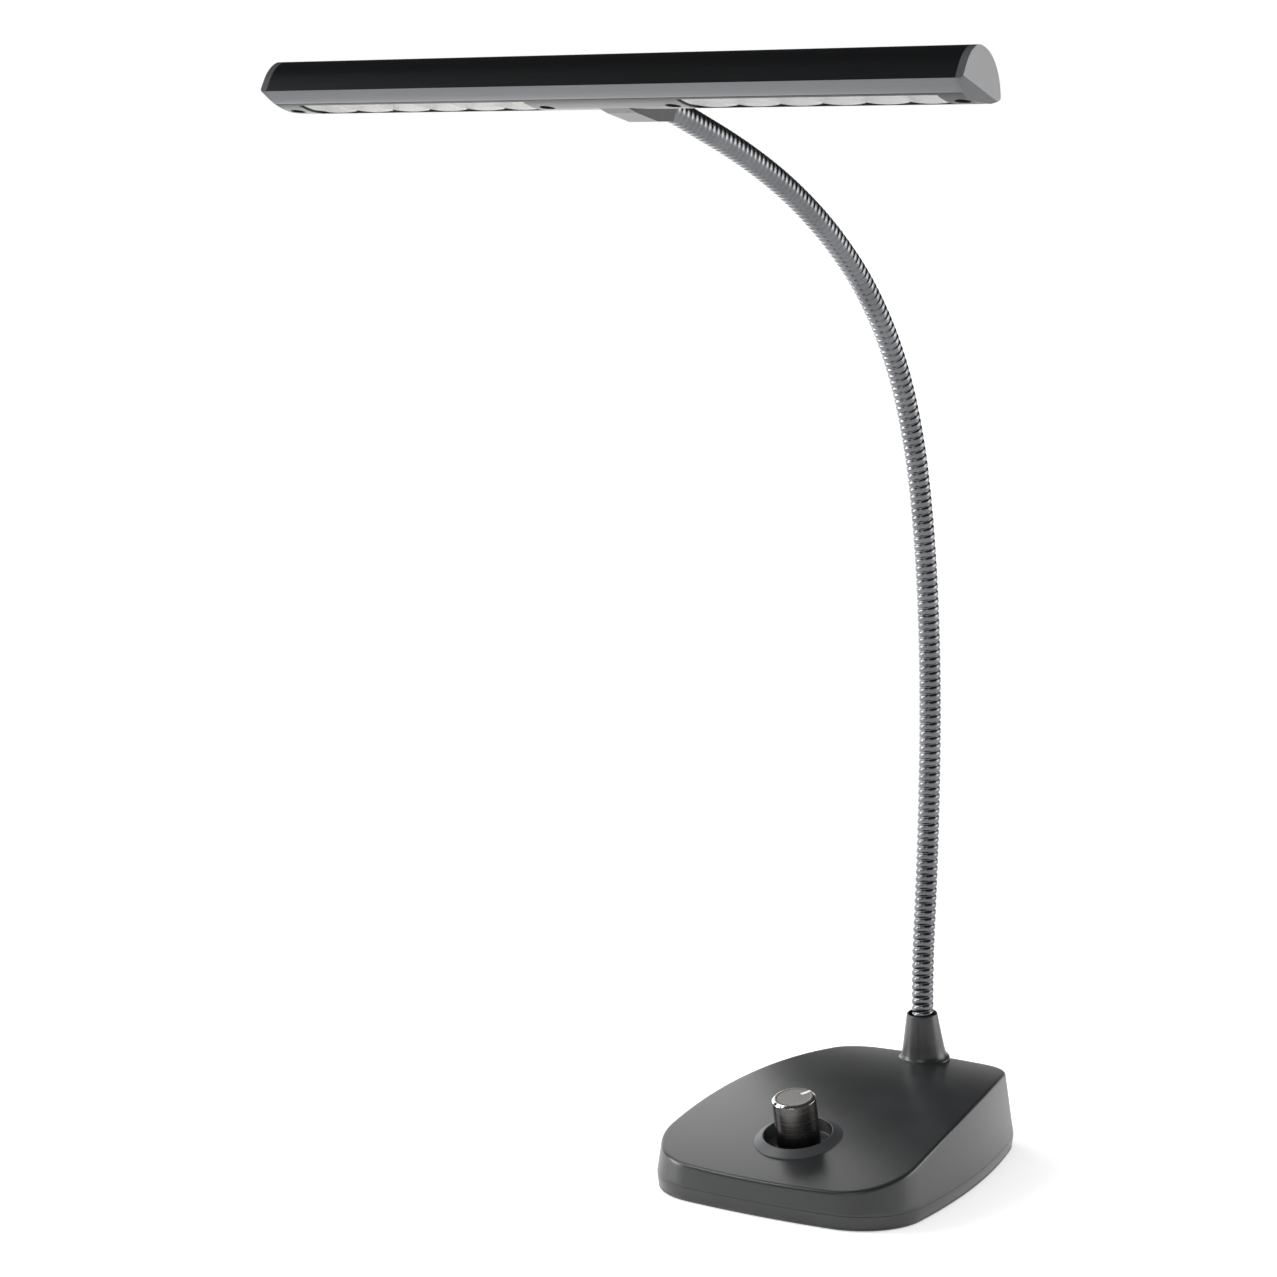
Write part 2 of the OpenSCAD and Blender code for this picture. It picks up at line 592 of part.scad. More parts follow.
module head_cover() color("#232427") difference() {
    union() {
        at_head() bar(cover_strip, -shell_x, shell_x);
        at_head() for (x = head_screw_at) translate([x, head_screw_u, 0])
            cylinder(r = head_boss_r, h = web_low);
        difference() {
            socket_body();
            at_head() bar(head_outline, -20, 20);
        }
    }
    at_head() for (x = head_screw_at) translate([x, head_screw_u, -6]) {
        cylinder(r = head_well_r, h = head_seat + 6);
        cylinder(r = screw_r + 0.3, h = 20);
    }
    at_head() for (s = [-1, 1]) translate([s * (window_in + window_l / 2), 0, 0]) {
        translate([-window_l / 2, window_u[0], -6])
            cube([window_l, window_u[1] - window_u[0], 12]);
    }
    at_neck(12, section_l[12]) translate([-10, -10, -6]) cube([20, 20, 6]);
    at_neck(12, section_l[12] - 2) cylinder(r = ferrule_r + fit, h = plain_l + 2);
    at_neck(12, section_l[12]) cylinder(r = bore_r, h = 24);
    at_neck(12, section_l[12] + 6) rotate([90, 0, 0]) cylinder(r = grub_r + fit, h = 12);
}
module ferrule_grub_screw() color("#3a3b3e") at_neck(12, section_l[12] + 6) rotate([90, 0, 0])
    translate([0, 0, ferrule_r]) difference() {
        cylinder(r = grub_r, h = 2.4);
        translate([0, 0, 1]) cylinder(r = 0.8, h = 2, $fn = 6);
    }
module end_cap(side) color("#303134") at_head() difference() {
    union() {
        if (side > 0) bar(head_outline, shell_x, shell_x + cap_t);
        if (side < 0) bar(head_outline, -shell_x - cap_t, -shell_x);
        for (u = [8.6, 19]) translate([side * (shell_x - 0.7), u, 10.3]) rotate([0, 90, 0])
            cylinder(r = 1.9, h = 7.4 - cap_t, center = true);
    }
    translate([side * (shell_x + cap_t), 14.8, 0.9]) rotate([0, side * 35.5, 0])
        translate([side > 0 ? 0 : -8, -20, -8]) cube([8, 40, 8]);
}
module end_cap_left() end_cap(-1);
module end_cap_right() end_cap(1);
module reflector(side) color("#f0f0ec") at_head()
    translate([side * (window_in + window_l / 2), 0, strip_top]) difference() {
        translate([-window_l / 2 - 0.8, channel_u[0] + 0.2, 0])
            cube([window_l + 1.6, channel_u[1] - channel_u[0] - 0.6, web_low - led_board_t - strip_top]);
        for (i = [0:cell_n - 1])
            translate([-window_l / 2 + cell * (i + 0.5), (window_u[0] + window_u[1]) / 2, 0]) {
                mirror([0, 0, 1]) translate([0, 0, -3.81])
                    linear_extrude(height = 3.82, scale = [2.05, 1.85], slices = 1) square([8, 8], center = true);
            }
    }
module reflector_left() reflector(-1);
module reflector_right() reflector(1);
module led_board(side) color("#e8e8e2") at_head()
    translate([side * (window_in + window_l / 2) - window_l / 2 - 1, board_in[0],
        web_low - led_board_t])
        cube([window_l + 2, board_in[1] - board_in[0], led_board_t]);
module led_board_left() led_board(-1);
module led_board_right() led_board(1);
module leds(side) color("#f3e28a") at_head() for (i = [0:cell_n - 1])
    translate([side * (window_in + window_l / 2) - window_l / 2 + cell * (i + 0.5),
        (window_u[0] + window_u[1]) / 2, led_low]) {
        translate([-2.5, -2.5, 0.3]) cube([5, 5, web_low - led_board_t - led_low - 0.3]);
        cylinder(r = 2, h = 0.31, $fn = 32);
    }
module leds_left() leds(-1);
module leds_right() leds(1);
module head_screws() color("#8d9095") at_head()
    for (x = head_screw_at) translate([x, head_screw_u, head_seat]) difference() {
        screw(screw_r, web_high + 2 - head_seat, 2.6, 2);
        translate([0, 0, -2.1]) cross_slot(1.1, 1.4);
    }
module head_leads() color("#c8322b") at_head() {
    for (s = [-1, 1])
        wire([[s * 1.2, 25.4, 9.7], [s * 1.2, 22, 9.7], [s * lead_hole[0], lead_hole[1], 9.2],
            [s * lead_hole[0], lead_hole[1], web_low + 0.02]], 0.7);
}

base_cover();
base_pan();
non_slip_mat();
ballast_block();
base_screws();
ballast_screws();
control_board();
board_screws();
board_choke();
board_capacitor();
driver_chip();
lead_terminal();
power_inlet();
inlet_pin();
inlet_nut();
inlet_leads();
base_leads();
knob_collar();
dimmer_case();
dimmer_washer();
dimmer_nut();
dimmer_shaft();
dimmer_knob();
knob_pointer();
knob_grub_screw();
neck_boot();
neck_stud();
neck_washer();
neck_nut();
neck_section_00();
neck_section_01();
neck_section_02();
neck_section_03();
neck_section_04();
neck_section_05();
neck_section_06();
neck_section_07();
neck_section_08();
neck_section_09();
neck_section_10();
neck_section_11();
neck_section_12();
neck_lead();
neck_ferrule();
ferrule_grub_screw();
head_extrusion();
head_cover();
end_cap_left();
end_cap_right();
reflector_left();
reflector_right();
led_board_left();
led_board_right();
leds_left();
leds_right();
head_screws();
head_leads();
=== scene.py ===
"""Piano lamp: looks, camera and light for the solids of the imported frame.

Every length is in metres in the frame's own axes: X along the lamp head, -Y towards the player,
Z up, the floor at z = 0. The solids are dressed with procedural materials, and the ones whose
softened edges or wound ribs matter to the eye are replaced by parametric surfaces.
"""

import json
import logging
import math
from dataclasses import dataclass, field
from enum import Enum
from typing import Dict, List, Optional, Sequence, Tuple, Union

import bpy
import numpy as np
from mathutils import Matrix, Vector

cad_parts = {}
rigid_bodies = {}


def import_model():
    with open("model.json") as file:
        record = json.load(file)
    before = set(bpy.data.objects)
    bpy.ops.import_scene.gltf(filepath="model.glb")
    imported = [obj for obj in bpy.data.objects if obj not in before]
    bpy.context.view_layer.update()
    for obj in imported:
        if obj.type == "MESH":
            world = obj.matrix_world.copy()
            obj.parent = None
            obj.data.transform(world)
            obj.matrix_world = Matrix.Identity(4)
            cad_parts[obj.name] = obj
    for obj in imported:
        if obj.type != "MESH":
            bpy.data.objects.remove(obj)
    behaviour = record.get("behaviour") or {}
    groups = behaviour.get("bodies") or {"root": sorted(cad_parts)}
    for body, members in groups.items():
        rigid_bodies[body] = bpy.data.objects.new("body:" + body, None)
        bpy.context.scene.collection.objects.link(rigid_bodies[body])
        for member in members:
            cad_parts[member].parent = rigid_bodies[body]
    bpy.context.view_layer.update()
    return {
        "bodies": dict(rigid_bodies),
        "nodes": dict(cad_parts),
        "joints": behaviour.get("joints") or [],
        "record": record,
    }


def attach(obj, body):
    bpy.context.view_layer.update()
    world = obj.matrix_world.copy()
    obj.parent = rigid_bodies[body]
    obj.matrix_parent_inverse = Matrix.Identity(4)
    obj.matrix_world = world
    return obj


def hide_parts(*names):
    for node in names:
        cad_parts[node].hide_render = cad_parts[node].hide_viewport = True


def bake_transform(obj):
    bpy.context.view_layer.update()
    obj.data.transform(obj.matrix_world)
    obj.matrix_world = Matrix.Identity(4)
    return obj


LOG = logging.getLogger("piano_lamp")
MM = 0.001
SLOW_NOISE = 38.0  # patches for each metre
BORE = 14 * MM  # depth of what cuts the inlet's hole
Point = Tuple[float, float, float]
Colour = Tuple[float, float, float]
WHITE: Colour = (1.0, 1.0, 1.0)
BLACK: Colour = (0.0, 0.0, 0.0)


class Run(Enum):
    """The axis that fine lines run along."""

    X = 0
    Y = 1
    Z = 2


class Side(Enum):
    """The end of the head that a window is nearer to, as the sign of its x."""

    LEFT = -1
    RIGHT = 1


# --------------------------------------------------------------------------------------------
# Shader expressions


class Graph:
    """Makes the nodes of one material's tree."""

    def __init__(self, tree: bpy.types.NodeTree) -> None:
        """Args:
        tree: the node tree to fill.
        """
        self.tree = tree

    def node(
        self,
        kind: str,
        out: Union[int, str] = 0,
        props: Optional[Dict[str, str]] = None,
        **inputs: Union["Value", float, Sequence[float]],
    ) -> "Value":
        """Adds one node.

        Args:
            kind: the node's type name, such as ShaderNodeTexNoise.
            out: the output socket to hand back, by number or name.
            props: settings of the node, by attribute name.
            **inputs: values or sockets, by input name with spaces as underscores; a name of the
                form i0, i1 picks the input by number.

        Returns:
            The wrapped output socket.
        """
        made = self.tree.nodes.new(kind)
        for name, value in (props or {}).items():
            setattr(made, name, value)
        for name, value in inputs.items():
            socket = made.inputs[int(name[1:]) if name[1:].isdigit() else name.replace("_", " ")]
            if isinstance(value, Value):
                self.tree.links.new(value.socket, socket)
            else:
                socket.default_value = value
        return Value(self, made.outputs[out])

    def math(self, operation: str, *values: Union["Value", float]) -> "Value":
        """Returns one Math node's result for the operation and its operands."""
        named = {f"i{i}": v for i, v in enumerate(values)}
        return self.node("ShaderNodeMath", props={"operation": operation}, **named)

    def coords(self) -> "Value":
        """Returns the object coordinates, which are the frame's own metres."""
        return self.node("ShaderNodeTexCoord", out="Object")

    def xyz(self) -> Tuple["Value", "Value", "Value"]:
        """Returns the object coordinates' three parts."""
        return self.parts(self.coords())

    def parts(self, vector: "Value") -> Tuple["Value", "Value", "Value"]:
        """Returns a vector's three parts."""
        split = self.tree.nodes.new("ShaderNodeSeparateXYZ")
        self.tree.links.new(vector.socket, split.inputs[0])
        return tuple(Value(self, split.outputs[i]) for i in range(3))

    def stretched(self, scale: Point) -> "Value":
        """Returns the object coordinates multiplied by scale."""
        return self.node(
            "ShaderNodeVectorMath", props={"operation": "MULTIPLY"}, i0=self.coords(), i1=scale
        )

    def noise(
        self, scale: float, detail: float = 2.0, vector: Optional["Value"] = None
    ) -> "Value":
        """Returns a noise of about 0 to 1, with scale in cells for each metre of vector."""
        return self.node(
            "ShaderNodeTexNoise",
            Vector=vector or self.coords(),
            Scale=scale,
            Detail=detail,
        )

    def mix(self, share: Union["Value", float], low: Colour, high: Colour) -> "Value":
        """Returns a colour between low and high."""
        return self.node(
            "ShaderNodeMix",
            out=2,
            props={"data_type": "RGBA"},
            i0=share,
            i6=(*low, 1.0) if not isinstance(low, Value) else low,
            i7=(*high, 1.0) if not isinstance(high, Value) else high,
        )

    def bump(self, height: "Value", strength: float, distance: float) -> "Value":
        """Returns a normal bent by the height."""
        return self.node("ShaderNodeBump", Height=height, Strength=strength, Distance=distance)

    def direct(self) -> "Value":
        """Returns 1 for what is seen straight, in gloss or through glass, and otherwise 0."""
        kinds = ("Is Camera Ray", "Is Glossy Ray", "Is Transmission Ray")
        seen, gloss, glass = (self.node("ShaderNodeLightPath", out=kind) for kind in kinds)
        return self.math("MINIMUM", seen + gloss + glass, 1.0)

    def link(self, value: "Value", shader: bpy.types.Node, socket: str) -> None:
        """Links value to the shader's socket."""
        self.tree.links.new(value.socket, shader.inputs[socket])


class Value:
    """A node's output socket that can be used in Python expressions."""

    def __init__(self, graph: Graph, socket: bpy.types.NodeSocket) -> None:
        """Args:
        graph: the graph that the socket belongs to.
        socket: the output socket.
        """
        self.graph = graph
        self.socket = socket

    def __add__(self, other: Union["Value", float]) -> "Value":
        """Returns the sum of this and other."""
        return self.graph.math("ADD", self, other)

    __radd__ = __add__

    def __sub__(self, other: Union["Value", float]) -> "Value":
        """Returns the difference of this and other."""
        return self.graph.math("SUBTRACT", self, other)

    def __rsub__(self, other: float) -> "Value":
        """Returns other less this."""
        return self.graph.math("SUBTRACT", other, self)

    def __mul__(self, other: Union["Value", float]) -> "Value":
        """Returns the product of this and other."""
        return self.graph.math("MULTIPLY", self, other)

    __rmul__ = __mul__

    def __truediv__(self, other: Union["Value", float]) -> "Value":
        """Returns the quotient of this and other."""
        return self.graph.math("DIVIDE", self, other)

    def __pow__(self, other: float) -> "Value":
        """Returns this to the power of other."""
        return self.graph.math("POWER", self, other)

    def smooth(self, low: float, high: float) -> "Value":
        """Returns 0 below low and 1 above high, with a soft step between them."""
        return self.graph.node(
            "ShaderNodeMapRange",
            props={"interpolation_type": "SMOOTHSTEP"},
            i0=self,
            i1=low,
            i2=high,
        )


# --------------------------------------------------------------------------------------------
# Finishes


@dataclass(frozen=True)
class Finish:
    """A surface with a grain and slow tone changes.

    Args:
        name: the material's name.
        colour: base colour, linear.
        rough: mean roughness.
        metal: 0 for plastic, paint and rubber, 1 for bare metal.
        level: specular level of the dielectric.
        grain: grains for each metre.
        grain_depth: bump height of the grain in metres.
        tone: share by which the colour changes from place to place.
        rough_change: how much the roughness changes from place to place.
        coat: share of clear coat.
    """

    name: str
    colour: Colour
    rough: float = 0.4
    metal: float = 0.0
    level: float = 0.5
    grain: float = 2500.0
    grain_depth: float = 1.5e-5
    tone: float = 0.12
    rough_change: float = 0.06
    coat: float = 0.0

    def build(self) -> bpy.types.Material:
        """Returns the material."""
        material = bpy.data.materials.new(self.name)
        material.use_nodes = True
        shader = material.node_tree.nodes["Principled BSDF"]
        graph = Graph(material.node_tree)
        for socket, value in (
            ("Metallic", self.metal),
            ("Specular IOR Level", self.level),
            ("Coat Weight", self.coat),
        ):
            shader.inputs[socket].default_value = value
        self.paint(graph, shader)
        return material

    def tones(self) -> Tuple[Colour, Colour]:
        """Returns the darkest and the lightest colour of the surface."""
        low = tuple(c * (1 - self.tone) for c in self.colour)
        high = tuple(min(1.0, c * (1 + self.tone)) for c in self.colour)
        return low, high

    def paint(self, graph: Graph, shader: bpy.types.Node) -> None:
        """Links colour, roughness and bump.

        Args:
            graph: the material's graph.
            shader: its Principled shader.
        """
        slow = graph.noise(SLOW_NOISE, 3.0)
        fine = graph.noise(self.grain)
        rough = self.rough + (slow - 0.5) * self.rough_change + (fine - 0.5) * self.rough_change
        graph.link(graph.mix(slow.smooth(0.3, 0.7), *self.tones()), shader, "Base Color")
        graph.link(rough, shader, "Roughness")
        graph.link(graph.bump(fine, 0.5, self.grain_depth), shader, "Normal")


@dataclass(frozen=True)
class Brushed(Finish):
    """Metal or anodised metal with fine lines along one axis.

    Args:
        along: the axis that the lines run along.
        across: lines for each metre.
        ends: how often a line changes along its length, for each metre.
    """

    along: Run = Run.X
    across: float = 4000.0
    ends: float = 40.0

    def paint(self, graph: Graph, shader: bpy.types.Node) -> None:
        """Links fine lines to colour, roughness and bump."""
        scale = tuple(self.ends if run is self.along else self.across for run in Run)
        lines = graph.noise(1.0, 3.0, graph.stretched(scale))
        rough = self.rough + (lines - 0.5) * self.rough_change
        graph.link(graph.mix(lines, *self.tones()), shader, "Base Color")
        graph.link(rough, shader, "Roughness")
        graph.link(graph.bump(lines, 0.4, self.grain_depth), shader, "Normal")


@dataclass(frozen=True)
class Turned(Finish):
    """Metal turned on a lathe: rings on the top, a polished chamfer, and fine lines on the side.

    Args:
        foot: y and z of the point on the axis at height zero.
        lean: lean of the axis from upright towards -Y, in degrees.
        chamfer: height at which the polished chamfer begins, and the radius at which it ends.
        soft: width of the line between the polished and the dark metal.
        ring: rings for each metre of radius.
        line: fine lines for each metre of height.
        polish: colour of the chamfer, linear.
    """

    foot: Tuple[float, float] = (-45.55 * MM, 25.442 * MM)
    lean: float = 13.04
    chamfer: Tuple[float, float] = (18.35 * MM, 8.3 * MM)
    soft: float = 0.05 * MM
    ring: float = 5200.0
    line: float = 900.0
    polish: Colour = (0.86, 0.85, 0.84)

    def paint(self, graph: Graph, shader: bpy.types.Node) -> None:
        """Links rings, lines and the chamfer's polish to colour, roughness and bump."""
        x, y, z = graph.xyz()
        s, c = math.sin(math.radians(self.lean)), math.cos(math.radians(self.lean))
        across = (y - self.foot[0]) * c + (z - self.foot[1]) * s
        height = (z - self.foot[1]) * c - (y - self.foot[0]) * s
        radius = (x * x + across * across) ** 0.5
        above, beyond = (value.smooth(edge - self.soft, edge)
                         for value, edge in zip((height, radius), self.chamfer))
        bright = above * beyond
        rings = graph.node(
            "ShaderNodeCombineXYZ", i0=radius * self.ring, i1=height * self.line, i2=0.0
        )
        marks = graph.noise(1.0, 3.0, rings)
        low = tuple(v * 0.75 for v in self.colour)
        dark = graph.mix(marks.smooth(0.3, 0.7), low, self.colour)
        rough = self.rough + (marks - 0.5) * 0.08 - bright * 0.14
        bump = graph.bump(marks * (1.0 - bright), 0.4, self.grain_depth)
        graph.link(graph.mix(bright, dark, self.polish), shader, "Base Color")
        graph.link(rough, shader, "Roughness")
        graph.link(bump, shader, "Normal")


FINISHES: Dict[str, Finish] = {finish.name: finish for finish in (
    Finish("satin_black", (0.021, 0.0222, 0.0232), rough=0.31, level=0.62),
    Finish("cover_black", (0.03, 0.031, 0.032), rough=0.45, level=0.3),
    # The end caps' finish: a grey several times lighter than the black of the rest, painted light
    # that stands in for the light falling on the caps' faces.
    Finish("cap_painted_light_grey", (0.1, 0.103, 0.107), rough=0.36, level=0.7),
    Finish("mat_rubber", (0.02, 0.02, 0.02), rough=0.75, grain_depth=6e-5),
    Finish("iron", (0.06, 0.06, 0.062), rough=0.6, metal=0.3, grain=900, grain_depth=1e-4),
    Brushed("zinc_steel", (0.52, 0.53, 0.55), rough=0.32, metal=1.0, along=Run.Z),
    Finish("board_green", (0.02, 0.13, 0.05), rough=0.3, coat=0.4),
    Finish("part_black", (0.015, 0.015, 0.016), rough=0.35),
    Finish("capacitor_blue", (0.02, 0.05, 0.24), rough=0.3),
    Finish("terminal_green", (0.03, 0.24, 0.08), rough=0.35),
    Brushed("dark_steel", (0.09, 0.09, 0.095), rough=0.35, metal=1.0, along=Run.Z),
    Finish("lead_red", (0.45, 0.02, 0.015), rough=0.45),
    Finish("lead_grey", (0.5, 0.48, 0.42), rough=0.45),
    Finish("lead_black", (0.015, 0.015, 0.015), rough=0.5),
    Finish("collar_black", (0.05, 0.052, 0.055), rough=0.42),
    Brushed("shaft_brass", (0.62, 0.44, 0.18), rough=0.3, metal=1.0, along=Run.Z),
    Turned("knob_metal", (0.13, 0.123, 0.117), rough=0.27, metal=1.0, grain_depth=1e-5),
    Finish("pointer_white", (0.8, 0.8, 0.78), rough=0.35),
    Finish("neck_black", (0.16, 0.163, 0.17), rough=0.25, metal=1.0),
    Brushed("anodised_black", (0.14, 0.145, 0.15), rough=0.3, metal=1.0, along=Run.X),
    Finish("reflector_white", (0.82, 0.82, 0.81), rough=0.3, tone=0.03),
    Finish("board_white", (0.75, 0.75, 0.73), rough=0.35, tone=0.03),
    Finish("led_yellow", (0.85, 0.66, 0.16), rough=0.3, tone=0.05),
)}


OWN_FINISH: Dict[str, str] = {
    "head_cover": "cover_black",
    "end_cap_left": "cap_painted_light_grey",
    # The end caps get the lighter grey that stands in for the light on their faces, as painted
    # light.
    "end_cap_right": "cap_painted_light_grey",
}


class Wardrobe:
    """Makes each finish's material once and hands it out by slot name."""

    def __init__(self) -> None:
        """Starts with no material made."""
        self.made: Dict[str, bpy.types.Material] = {}

    def get(self, slot: str) -> bpy.types.Material:
        """Returns the material for a slot name."""
        if slot not in self.made:
            self.made[slot] = FINISHES[slot].build()
        return self.made[slot]

    def dress(self, obj: bpy.types.Object, slot: str) -> None:
        """Gives obj the slot's material alone."""
        obj.data.materials.clear()
        obj.data.materials.append(self.get(slot))

    def finish(self, piece: bpy.types.Object, slot: str) -> None:
        """Gives a new piece the slot's material, and reports the piece and its slot."""
        self.dress(piece, slot)
        LOG.info("made %s in %s, %d faces", piece.name, slot, len(piece.data.polygons))


# --------------------------------------------------------------------------------------------
# Surfaces


@dataclass
class Sheet:
    """A grid of points, as rows of columns, that becomes quads.

    Args:
        points: array of rows, columns and 3 coordinates.
        loop: whether the last column joins the first.
        ring: whether the last row joins the first.
    """

    points: np.ndarray
    loop: bool = False
    ring: bool = False

    def quads(self, base: int) -> np.ndarray:
        """Returns the corner numbers of each quad, counted from base."""
        rows, cols = self.points.shape[:2]
        i = np.arange(rows if self.ring else rows - 1)[:, None]
        j = np.arange(cols if self.loop else cols - 1)[None, :]
        i2, j2 = (i + 1) % rows, (j + 1) % cols
        corners = (i * cols + j, i * cols + j2, i2 * cols + j2, i2 * cols + j)
        return base + np.stack(np.broadcast_arrays(*corners), -1).reshape(-1, 4)


def mesh_object(name: str, sheets: Sequence[Sheet], sharp: float = 40.0) -> bpy.types.Object:
    """Makes one smooth-shaded object from sheets.

    Args:
        name: the object's name.
        sheets: the surfaces, in metres.
        sharp: edges that turn more than this many degrees stay sharp.

    Returns:
        The object, at the origin and linked to the scene.
    """
    points, faces, base = [], [], 0
    for sheet in sheets:
        points.append(sheet.points.reshape(-1, 3))
        faces.append(sheet.quads(base))
        base += len(points[-1])
    mesh = bpy.data.meshes.new(name)
    mesh.from_pydata(np.vstack(points), [], np.vstack(faces).tolist())
    mesh.shade_smooth()
    mesh.set_sharp_from_angle(angle=math.radians(sharp))
    mesh.validate()
    obj = bpy.data.objects.new(name, mesh)
    bpy.context.scene.collection.objects.link(obj)
    return obj


@dataclass(frozen=True)
class Axis:
    """A line in the plane x = 0, about which round pieces are turned.

    Args:
        y: place of height zero.
        z: place of height zero.
        tilt: lean from upright towards -Y, in degrees.
    """

    y: float
    z: float
    tilt: float

    def place(self, points: np.ndarray) -> np.ndarray:
        """Returns points, given about the upright line through the origin, moved to the axis."""
        lean = math.radians(self.tilt)
        x, y, z = points[..., 0], points[..., 1], points[..., 2]
        return np.stack([
            x,
            self.y + y * math.cos(lean) - z * math.sin(lean),
            self.z + y * math.sin(lean) + z * math.cos(lean),
        ], -1)

    def turned(self, profile: np.ndarray, around: int = 120) -> Sheet:
        """Returns the surface that rows of radius and height sweep about the axis."""
        a = np.linspace(0, 2 * math.pi, around, endpoint=False)
        r, h = profile[:, :1], profile[:, 1:]
        points = np.stack([r * np.cos(a), r * np.sin(a), h + 0 * a], -1)
        return Sheet(self.place(points), loop=True)


def rounded(corners: Sequence[Tuple[float, float, float]], steps: int = 6) -> np.ndarray:
    """Rounds the corners of a line.

    Each corner C becomes the curve (1-t)^2 A + 2 t (1-t) C + t^2 B, where A and B lie a reach
    before and after it.

    Args:
        corners: two coordinates and the reach of each corner, in mm.
        steps: number of lengths in each curve.

    Returns:
        The points, in metres.
    """
    rows = np.array(corners, float)
    out = [rows[0, :2]]
    for before, here, after in zip(rows, rows[1:], rows[2:]):
        c, reach = here[:2], here[2]
        if reach <= 0:
            out.append(c)
            continue
        a = c + (before[:2] - c) * reach / np.linalg.norm(before[:2] - c)
        b = c + (after[:2] - c) * reach / np.linalg.norm(after[:2] - c)
        for t in np.linspace(0, 1, steps + 1):
            out.append((1 - t) ** 2 * a + 2 * t * (1 - t) * c + t * t * b)
    out.append(rows[-1, :2])
    return np.array(out) * MM


def cut(obj: bpy.types.Object, cutter: bpy.types.Object, sharp: float = 40.0) -> None:
    """Takes the cutter's space out of obj, and removes the cutter."""
    change = obj.modifiers.new("cut", "BOOLEAN")
    change.operation = "DIFFERENCE"
    change.solver = "EXACT"
    change.object = cutter
    solved = obj.evaluated_get(bpy.context.evaluated_depsgraph_get())
    made = bpy.data.meshes.new_from_object(solved)
    obj.modifiers.clear()
    obj.data = made
    made.set_sharp_from_angle(angle=math.radians(sharp))
    bpy.data.objects.remove(cutter)


# --------------------------------------------------------------------------------------------
# Base


@dataclass
class Plan:
    """Outline of the base at its widest line, as arcs from the front middle to the rear middle.

    Args:
        front: y of the outline's front middle.
        turns: angle of each arc, in degrees.
        radii: radius of each arc.
        sides: number of points along each arc.
    """

    front: float = -82.25 * MM
    turns: Tuple[float, ...] = (5.2, 83.65, 17.15, 65.0, 9.0)
    radii: Tuple[float, ...] = tuple(v * MM for v in (387, 30.5, 385, 24, 183.155))
    sides: Tuple[int, ...] = (16, 40, 24, 36, 12)

    def ring(self) -> Tuple[np.ndarray, np.ndarray]:
        """Returns the outline's points and the unit vectors that point out of it there."""
        points, out = [(0.0, self.front)], [(0.0, -1.0)]
        x, y, heading = 0.0, self.front, 0.0
        for turn, radius, sides in zip(self.turns, self.radii, self.sides):
            angle = math.radians(turn)
            for i in range(1, sides + 1):
                t = heading + angle * i / sides
                points.append((
                    x + radius * (math.sin(t) - math.sin(heading)),
                    y + radius * (math.cos(heading) - math.cos(t)),
                ))
                out.append((math.sin(t), -math.cos(t)))
            x, y = points[-1]
            heading += angle
        half = len(points) - 1
        points += [(-px, py) for px, py in points[half - 1:0:-1]]
        out += [(-ox, oy) for ox, oy in out[half - 1:0:-1]]
        return np.array(points), np.array(out)


